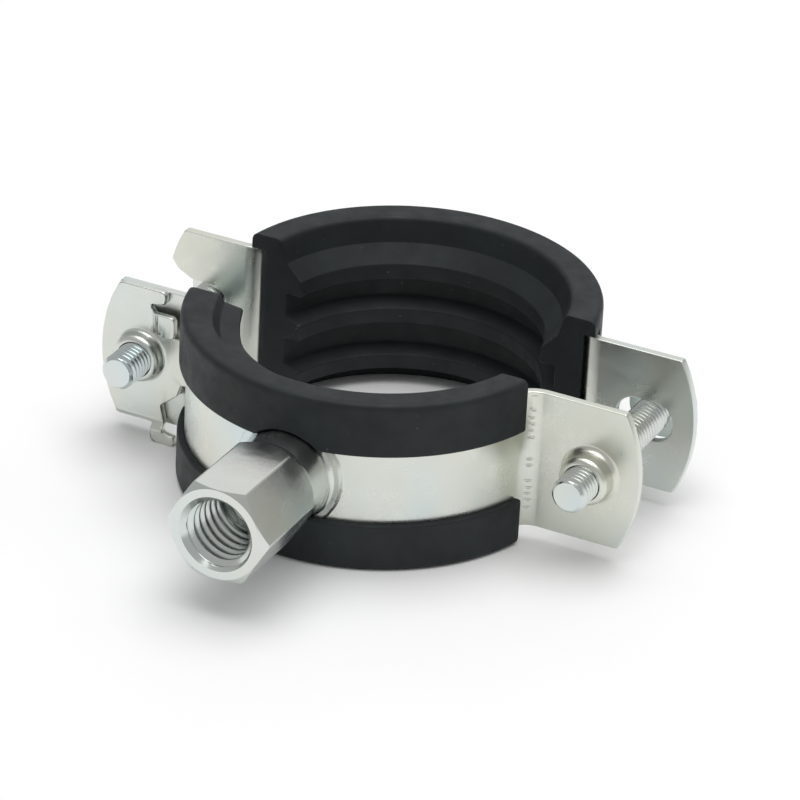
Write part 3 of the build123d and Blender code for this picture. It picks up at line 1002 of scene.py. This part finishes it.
def cut_drive(screw, x, head_y, width, depth):
    """Cut the slot and the cross recess into the head of a screw object."""
    cutter = bmesh.new()
    for half_x, half_z, draft_x, draft_z in (
            (HEAD_RADIUS + CUTTER_EXCESS, width / 2, 0.0, SLOT_DRAFT),
            (width / 2, CROSS_REACH, SLOT_DRAFT, CROSS_DRAFT)):
        rows = []
        for level, taper in ((head_y + CUTTER_EXCESS, 0.0), (head_y - depth, 1.0)):
            reach_x, reach_z = half_x - draft_x * taper, half_z - draft_z * taper
            rows.append([cutter.verts.new((x + sx * reach_x, level, sz * reach_z))
                         for sx, sz in ((-1, -1), (1, -1), (1, 1), (-1, 1))])
        bridge(cutter, rows[0], rows[1])
        cutter.faces.new(rows[0])
        cutter.faces.new(rows[1][::-1])
    bmesh.ops.recalc_face_normals(cutter, faces=cutter.faces[:])
    data = bpy.data.meshes.new("drive_cutter")
    cutter.transform(Matrix.Scale(MM, 4))
    cutter.to_mesh(data)
    cutter.free()
    tool = add_object("drive_cutter", data)
    recess = screw.modifiers.new("Drive", "BOOLEAN")
    recess.operation = "DIFFERENCE"
    recess.solver = "EXACT"
    recess.use_self = True
    recess.object = tool
    bake_modifiers(screw)
    bpy.data.objects.remove(tool)
    bpy.data.meshes.remove(data)


def add_object(name, data):
    """New object in the scene's own collection."""
    added = bpy.data.objects.new(name, data)
    bpy.context.scene.collection.objects.link(added)
    return added


def bake_modifiers(piece):
    """Replace a piece's mesh by its evaluated mesh and drop the modifiers."""
    bpy.context.view_layer.update()
    evaluated = piece.evaluated_get(bpy.context.evaluated_depsgraph_get())
    data = bpy.data.meshes.new_from_object(evaluated)
    piece.modifiers.clear()
    piece.data = data


# ------------------------ materials

def new_material(name):
    """Fresh node material; returns the material, its node tree and its shader."""
    material = bpy.data.materials.new(name)
    material.use_nodes = True
    return material, material.node_tree, material.node_tree.nodes["Principled BSDF"]


def add_noise(tree, coordinates, scale, detail=4.0, roughness=0.5, stretch=(1, 1, 1)):
    """Noise texture in object space, scale in features per metre."""
    mapping = tree.nodes.new("ShaderNodeMapping")
    mapping.inputs["Scale"].default_value = stretch
    tree.links.new(coordinates.outputs["Object"], mapping.inputs["Vector"])
    texture = tree.nodes.new("ShaderNodeTexNoise")
    for name, value in (("Scale", scale), ("Detail", detail), ("Roughness", roughness)):
        texture.inputs[name].default_value = value
    tree.links.new(mapping.outputs["Vector"], texture.inputs["Vector"])
    return texture.outputs["Fac"]


def add_ramp(tree, value, stops):
    """Colour ramp; stops are (position, colour)."""
    ramp = tree.nodes.new("ShaderNodeValToRGB")
    elements = ramp.color_ramp.elements
    while len(elements) < len(stops):
        elements.new(0.5)
    for element, (position, colour) in zip(elements, stops):
        element.position = position
        element.color = (*colour, 1)
    tree.links.new(value, ramp.inputs["Fac"])
    return ramp.outputs["Color"]


def add_mix(tree, factor, first, second):
    """Colour mix; each input is a socket or a plain value."""
    mix = tree.nodes.new("ShaderNodeMix")
    mix.data_type = "RGBA"
    for socket, value in (("Factor", factor), ("A", first), ("B", second)):
        if isinstance(value, bpy.types.NodeSocket):
            tree.links.new(value, mix.inputs[socket])
        else:
            mix.inputs[socket].default_value = value
    return mix.outputs["Result"]


def add_range(tree, value, low, high, from_low=0.3, from_high=0.7):
    """Map a noise value to a number range."""
    node = tree.nodes.new("ShaderNodeMapRange")
    for name, number in (("From Min", from_low), ("From Max", from_high),
                         ("To Min", low), ("To Max", high)):
        node.inputs[name].default_value = number
    tree.links.new(value, node.inputs["Value"])
    return node.outputs["Result"]


def add_bump(tree, shader, height, strength, distance, normal=None):
    """Bump node chained into the shader's normal."""
    bump = tree.nodes.new("ShaderNodeBump")
    bump.inputs["Strength"].default_value = strength
    bump.inputs["Distance"].default_value = distance
    tree.links.new(height, bump.inputs["Height"])
    if normal is not None:
        tree.links.new(normal, bump.inputs["Normal"])
    tree.links.new(bump.outputs["Normal"], shader.inputs["Normal"])
    return bump.outputs["Normal"]


def zinc_material(name, finish):
    """Bright zinc plating with a faint passivation tint, cloudy gloss and a fine grain."""
    roughness, tint_share, grain = ZINC_LOOKS[name]
    material, tree, shader = new_material(name)
    coordinates = tree.nodes.new("ShaderNodeTexCoord")
    clouds = add_noise(tree, coordinates, 90, detail=3)
    drift = add_noise(tree, coordinates, 45, detail=2, stretch=(1, 1, 0.5))
    zinc, tint = tuple(finish.zinc), tuple(finish.zinc_tint)
    blue = (zinc[0] * 0.93, zinc[1] * 0.99, zinc[2] * 1.04)
    pink = (zinc[0] * 1.03, zinc[1] * 0.97, zinc[2] * 1.0)
    base = add_ramp(tree, clouds, [(0.3, blue), (0.5, zinc), (0.7, pink)])
    share = add_range(tree, drift, 0.3 * tint_share, tint_share, 0.38, 0.62)
    colour = add_mix(tree, share, base, (*tint, 1))
    tree.links.new(colour, shader.inputs["Base Color"])
    shader.inputs["Metallic"].default_value = 1.0
    gloss = add_noise(tree, coordinates, 260, detail=5, roughness=0.6)
    tree.links.new(add_range(tree, gloss, roughness - 0.06, roughness + 0.06),
                   shader.inputs["Roughness"])
    fine = add_noise(tree, coordinates, 2600, detail=3, stretch=grain)
    wide = add_noise(tree, coordinates, 320, detail=2)
    normal = add_bump(tree, shader, wide, 0.12, 0.0002)
    add_bump(tree, shader, fine, 0.16, 0.00003, normal)
    return material


def rubber_material(name, finish):
    """Matte black rubber with a fine skin and a little dust."""
    material, tree, shader = new_material(name)
    coordinates = tree.nodes.new("ShaderNodeTexCoord")
    rubber = tuple(finish.rubber)
    light = tuple(c * 1.9 for c in rubber)
    clouds = add_noise(tree, coordinates, 140, detail=5, roughness=0.6)
    base = add_ramp(tree, clouds, [(0.35, rubber), (0.75, light)])
    specks = add_noise(tree, coordinates, 900, detail=2, roughness=0.7)
    dust = add_range(tree, specks, 0.0, 0.35, 0.72, 0.80)
    colour = add_mix(tree, dust, base, DUST)
    tree.links.new(colour, shader.inputs["Base Color"])
    shader.inputs["Specular IOR Level"].default_value = 0.3
    gloss = add_noise(tree, coordinates, 400, detail=4)
    tree.links.new(add_range(tree, gloss, 0.46, 0.62), shader.inputs["Roughness"])
    skin = add_noise(tree, coordinates, 1700, detail=4, roughness=0.6)
    wide = add_noise(tree, coordinates, 210, detail=2)
    normal = add_bump(tree, shader, wide, 0.15, 0.0004)
    add_bump(tree, shader, skin, 0.22, 0.00005, normal)
    return material


# ------------------------ pieces

def make_piece(node, body, mesh, material):
    """Weld a mesh in millimetres, make it an object on a body's empty and hide the CAD node it
    stands in for.
    """
    bmesh.ops.remove_doubles(mesh, verts=mesh.verts[:], dist=WELD)
    bmesh.ops.dissolve_degenerate(mesh, dist=WELD / 2, edges=mesh.edges[:])
    bmesh.ops.recalc_face_normals(mesh, faces=mesh.faces[:])
    mesh.transform(Matrix.Scale(MM, 4))
    data = bpy.data.meshes.new(node + "_look")
    mesh.to_mesh(data)
    mesh.free()
    data.materials.append(material)
    piece = add_object(node + "_look", data)
    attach(piece, body)
    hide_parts(node)
    return piece


def shade(piece, angle):
    """Smooth shading that keeps edges sharper than angle and weights normals by face size."""
    piece.data.shade_smooth()
    mesh = bmesh.new()
    mesh.from_mesh(piece.data)
    for edge in mesh.edges:
        if len(edge.link_faces) == 2:
            edge.smooth = edge.calc_face_angle(0.0) < math.radians(angle)
    mesh.to_mesh(piece.data)
    mesh.free()
    weighted = piece.modifiers.new("Weighted Normal", "WEIGHTED_NORMAL")
    weighted.keep_sharp = True
    weighted.weight = 60


def finish_piece(piece, angle):
    """Shade a piece, and stop the script where its mesh isn't a closed solid."""
    mesh = bmesh.new()
    mesh.from_mesh(piece.data)
    loose = [e for e in mesh.edges if len(e.link_faces) != 2]
    where = [tuple(round(c / MM, 2) for c in e.verts[0].co) for e in loose[:6]]
    mesh.free()
    if loose:
        raise RuntimeError(f"{piece.name} is open at {len(loose)} edges, near {where}")
    shade(piece, angle)


class CLAMP_OT_bands(bpy.types.Operator):
    """Build the front and back band"""
    bl_idname = "clamp.bands"
    bl_label = "Bands"

    def execute(self, context):
        size, finish = context.scene.clamp_bands, context.scene.clamp_finish
        zinc = zinc_material("zinc_bands", finish)
        for half, mesh in (("front", front_band_mesh(size)), ("back", back_band_mesh(size))):
            piece = make_piece(half + "_band", half + "_half", mesh, zinc)
            finish_piece(piece, SHEET_SHARP)
        return {"FINISHED"}


class CLAMP_OT_linings(bpy.types.Operator):
    """Build the two rubber linings"""
    bl_idname = "clamp.linings"
    bl_label = "Linings"

    def execute(self, context):
        size, finish = context.scene.clamp_linings, context.scene.clamp_finish
        rubber = rubber_material("lining_rubber", finish)
        back = lining_mesh(size, BACK_RUN, front=False)
        bmesh.ops.transform(back, matrix=to_back(), verts=back.verts[:])
        front = lining_mesh(size, FRONT_RUN, front=True)
        for half, mesh in (("front", front), ("back", back)):
            piece = make_piece(half + "_lining", half + "_half", mesh, rubber)
            finish_piece(piece, RUBBER_SHARP)
        return {"FINISHED"}


class CLAMP_OT_nut(bpy.types.Operator):
    """Build the connecting nut"""
    bl_idname = "clamp.nut"
    bl_label = "Connecting Nut"

    def execute(self, context):
        zinc = zinc_material("zinc_nut", context.scene.clamp_finish)
        mesh = nut_mesh(context.scene.clamp_nut)
        piece = make_piece("connecting_nut", "front_half", mesh, zinc)
        finish_piece(piece, NUT_SHARP)
        return {"FINISHED"}


class CLAMP_OT_lock_plate(bpy.types.Operator):
    """Build the quick-lock plate"""
    bl_idname = "clamp.lock_plate"
    bl_label = "Lock Plate"

    def execute(self, context):
        zinc = zinc_material("zinc_plate", context.scene.clamp_finish)
        mesh = lock_plate_mesh(context.scene.clamp_bands)
        piece = make_piece("lock_plate", "quick_lock", mesh, zinc)
        finish_piece(piece, SHEET_SHARP)
        return {"FINISHED"}


class CLAMP_OT_screws(bpy.types.Operator):
    """Build the two clamp screws"""
    bl_idname = "clamp.screws"
    bl_label = "Screws"

    def execute(self, context):
        size = context.scene.clamp_screws
        zinc = zinc_material("zinc_screw", context.scene.clamp_finish)
        for node, x, low, high in (("right_screw", RIGHT_SCREW_X, RIGHT_LOW.y, RIGHT_HIGH.y),
                                   ("left_screw", LEFT_SCREW_X, LEFT_LOW.y, LEFT_HIGH.y)):
            piece = make_piece(node, node, screw_mesh(x, low, high), zinc)
            cut_drive(piece, x, high, size.slot_width / MM, size.slot_depth / MM)
            finish_piece(piece, SCREW_SHARP)
        return {"FINISHED"}


class CLAMP_OT_stage(bpy.types.Operator):
    """Set up the floor, the soft studio light and the camera"""
    bl_idname = "clamp.stage"
    bl_label = "Stage"

    def execute(self, context):
        size = context.scene.clamp_stage
        add_floor(size)
        add_lights()
        add_camera(size)
        context.scene.view_settings.view_transform = "Standard"
        return {"FINISHED"}


def add_floor(size):
    """Pale floor under the linings."""
    corners = [(x * FLOOR_HALF, y * FLOOR_HALF, LINING_LOW.z * MM)
               for x, y in ((-1, -1), (1, -1), (1, 1), (-1, 1))]
    data = bpy.data.meshes.new("floor")
    data.from_pydata(corners, [], [(0, 1, 2, 3)])
    floor = add_object("floor", data)
    material, tree, shader = new_material("floor")
    coordinates = tree.nodes.new("ShaderNodeTexCoord")
    grain = add_noise(tree, coordinates, 40, detail=3)
    pale = tuple(size.floor)
    colour = add_ramp(tree, grain, [(0.3, tuple(c * 0.99 for c in pale)), (0.7, pale)])
    tree.links.new(colour, shader.inputs["Base Color"])
    shader.inputs["Roughness"].default_value = 0.9
    shader.inputs["Specular IOR Level"].default_value = 0.1
    data.materials.append(material)


def add_area_light(name, place, width, height, power):
    """Soft rectangular light aimed at the origin."""
    light = bpy.data.lights.new(name, "AREA")
    light.shape = "RECTANGLE"
    light.size, light.size_y = width, height
    light.energy = power
    holder = add_object(name, light)
    holder.location = place
    holder.rotation_euler = (-Vector(place)).to_track_quat("-Z", "Y").to_euler()


def add_lights():
    """Pale surroundings and the soft boxes."""
    world = bpy.data.worlds.new("studio")
    world.use_nodes = True
    background = world.node_tree.nodes["Background"]
    background.inputs["Color"].default_value = (1.0, 1.0, 1.0, 1.0)
    background.inputs["Strength"].default_value = WORLD_STRENGTH
    bpy.context.scene.world = world
    for light in LIGHTS:
        add_area_light(*light)


def add_camera(size):
    """Camera at the fitted bearing, height and roll."""
    camera = bpy.data.cameras.new("camera")
    camera.sensor_width = 36.0
    camera.lens = size.lens
    camera.clip_start, camera.clip_end = 0.01, 20.0
    holder = add_object("camera", camera)
    turn = (Matrix.Rotation(size.azimuth, 4, "Z")
            @ Matrix.Rotation(math.pi / 2 - size.elevation, 4, "X")
            @ Matrix.Rotation(size.roll, 4, "Z"))
    holder.matrix_world = Matrix.Translation(size.place) @ turn
    bpy.context.scene.camera = holder


class CLAMP_PT_panel(bpy.types.Panel):
    """Buttons that build the clamp and its stage"""
    bl_label = "Pipe Clamp"
    bl_idname = "CLAMP_PT_panel"
    bl_space_type = "VIEW_3D"
    bl_region_type = "UI"
    bl_category = "Pipe Clamp"

    def draw(self, context):
        for operator in OPERATORS:
            self.layout.operator(operator.bl_idname)
        for name in GROUPS:
            group = getattr(context.scene, name)
            column = self.layout.box().column()
            for key in group.__annotations__:
                column.prop(group, key)


GROUPS = {
    "clamp_bands": BandSettings,
    "clamp_linings": LiningSettings,
    "clamp_nut": NutSettings,
    "clamp_screws": ScrewSettings,
    "clamp_finish": FinishSettings,
    "clamp_stage": StageSettings,
}
OPERATORS = (CLAMP_OT_bands, CLAMP_OT_linings, CLAMP_OT_nut, CLAMP_OT_lock_plate,
             CLAMP_OT_screws, CLAMP_OT_stage)


def register():
    """Register the settings, the operators and the panel."""
    for name, group in GROUPS.items():
        bpy.utils.register_class(group)
        setattr(bpy.types.Scene, name, bpy.props.PointerProperty(type=group))
    for operator in OPERATORS:
        bpy.utils.register_class(operator)
    bpy.utils.register_class(CLAMP_PT_panel)


def unregister():
    """Take the panel, the operators and the settings out again."""
    bpy.utils.unregister_class(CLAMP_PT_panel)
    for operator in reversed(OPERATORS):
        bpy.utils.unregister_class(operator)
    for name, group in reversed(GROUPS.items()):
        delattr(bpy.types.Scene, name)
        bpy.utils.unregister_class(group)


def main():
    """Build every piece and the stage."""
    register()
    for build in (bpy.ops.clamp.bands, bpy.ops.clamp.linings, bpy.ops.clamp.nut,
                  bpy.ops.clamp.lock_plate, bpy.ops.clamp.screws, bpy.ops.clamp.stage):
        build()


if __name__ == "__main__":
    main()
